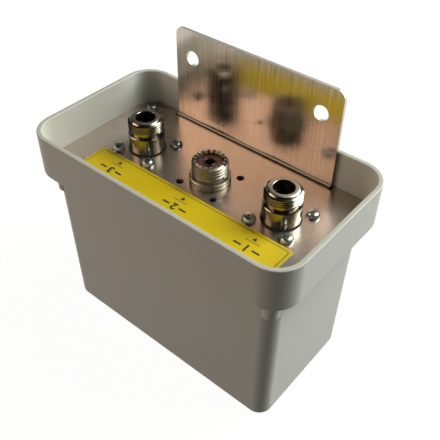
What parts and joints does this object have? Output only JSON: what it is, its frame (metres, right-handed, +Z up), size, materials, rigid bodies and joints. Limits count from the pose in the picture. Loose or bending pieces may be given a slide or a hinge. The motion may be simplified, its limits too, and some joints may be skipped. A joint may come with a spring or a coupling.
{
  "type": "antenna amplifier",
  "caption": "Mast-mount antenna amplifier: deep moulded case, recessed metal panel bent up into a mounting flange, threaded coaxial sockets and a circuit board inside.",
  "frame": {"origin": "centre of the case's flat underside", "axes": "+Z up out of the case's open end, +X along the long side towards the aerial socket, +Y towards the mounting flange"},
  "size_m": [0.1336, 0.0742, 0.1271],
  "materials": {
    "moulded_case": "moulded, fine satin",
    "brass_inserts": "turned, knurled",
    "black_rubber": "moulded",
    "brushed_sheet": "brushed along the flange's height",
    "yellow_film": "printed film",
    "zinc_screws": "bright zinc plate",
    "nickel_plate": "turned brass, bright nickel plate",
    "ptfe": "turned",
    "phenolic": "moulded",
    "gold_contacts": "gold flash",
    "tinplate": "tin plated sheet",
    "laminate": "solder mask on glass laminate",
    "ceramic": "fired ceramic",
    "trimmer_plastic": "moulded",
    "trimmer_metal": "stamped",
    "ferrite": "sintered",
    "epoxy": "moulded package",
    "terminal_plastic": "moulded",
    "capacitor_sleeve": "shrunk sleeve",
    "aluminium_sink": "extruded",
    "fuse_glass": "drawn tube",
    "red_wire": "extruded insulation",
    "black_wire": "extruded insulation"
  },
  "bodies": {
    "case": {"case_shell": "moulded_case", "boss_inserts": "brass_inserts", "panel_gasket": "black_rubber"},
    "chassis": {"panel_plate": "brushed_sheet", "panel_screws": "zinc_screws", "label": "yellow_film", "antenna_jack_body": "nickel_plate", "antenna_jack_insulator": "ptfe", "antenna_jack_contact": "gold_contacts", "antenna_jack_seal": "black_rubber", "antenna_jack_screws": "zinc_screws", "antenna_jack_nuts": "zinc_screws", "antenna_bracket": "tinplate", "output_jack_body": "nickel_plate", "output_jack_insulator": "ptfe", "output_jack_contact": "gold_contacts", "output_jack_seal": "black_rubber", "output_jack_screws": "zinc_screws", "output_jack_nuts": "zinc_screws", "output_bracket": "tinplate", "power_socket_body": "nickel_plate", "power_socket_insulator": "phenolic", "power_socket_contact": "nickel_plate", "power_socket_ring_nut": "nickel_plate", "ground_lug": "tinplate", "board_screws": "zinc_screws", "circuit_board": "laminate", "shield_frame": "tinplate", "trimmer_stators": "trimmer_plastic", "gain_trimmer_body": "trimmer_plastic", "filter_inductors": "ferrite", "amplifier_chip": "epoxy", "terminal_block": "terminal_plastic", "terminal_screws": "zinc_screws", "fuse_tube": "fuse_glass", "fuse_caps": "nickel_plate", "fuse_clips": "tinplate", "electrolytic_capacitors": "capacitor_sleeve", "supply_choke": "ferrite", "heat_sink": "aluminium_sink", "voltage_regulator": "epoxy", "regulator_screw": "zinc_screws", "regulator_nut": "zinc_screws", "surge_arrester": "ceramic", "coupling_capacitor": "ceramic", "chip_components": "ceramic", "red_lead": "red_wire", "black_lead": "black_wire"},
    "cover": {"shield_cover": "tinplate"},
    "gain_screw": {"gain_trimmer_rotor": "trimmer_metal"},
    "trimmer_1": {"trimmer_rotor_1": "trimmer_metal"},
    "trimmer_2": {"trimmer_rotor_2": "trimmer_metal"},
    "trimmer_3": {"trimmer_rotor_3": "trimmer_metal"}
  },
  "joints": [
    {"name": "chassis_lift", "type": "slide", "parent": "case", "child": "chassis", "axis": [0, 0, 1], "range_m": [0, 0.09]},
    {"name": "cover_pull", "type": "slide", "parent": "chassis", "child": "cover", "axis": [0, -1, 0], "range_m": [0, 0.012]},
    {"name": "gain_turn", "type": "hinge", "parent": "chassis", "child": "gain_screw", "pos_m": [-0.01655, 0.0006, 0.045], "axis": [0, -1, 0], "range_deg": [-135, 135]},
    {"name": "trimmer_turn_1", "type": "hinge", "parent": "chassis", "child": "trimmer_1", "pos_m": [0.01545, 0.0006, 0.048], "axis": [0, -1, 0], "continuous": true},
    {"name": "trimmer_turn_2", "type": "hinge", "parent": "chassis", "child": "trimmer_2", "pos_m": [0.02745, 0.0006, 0.048], "axis": [0, -1, 0], "continuous": true},
    {"name": "trimmer_turn_3", "type": "hinge", "parent": "chassis", "child": "trimmer_3", "pos_m": [0.03945, 0.0006, 0.048], "axis": [0, -1, 0], "continuous": true}
  ]
}
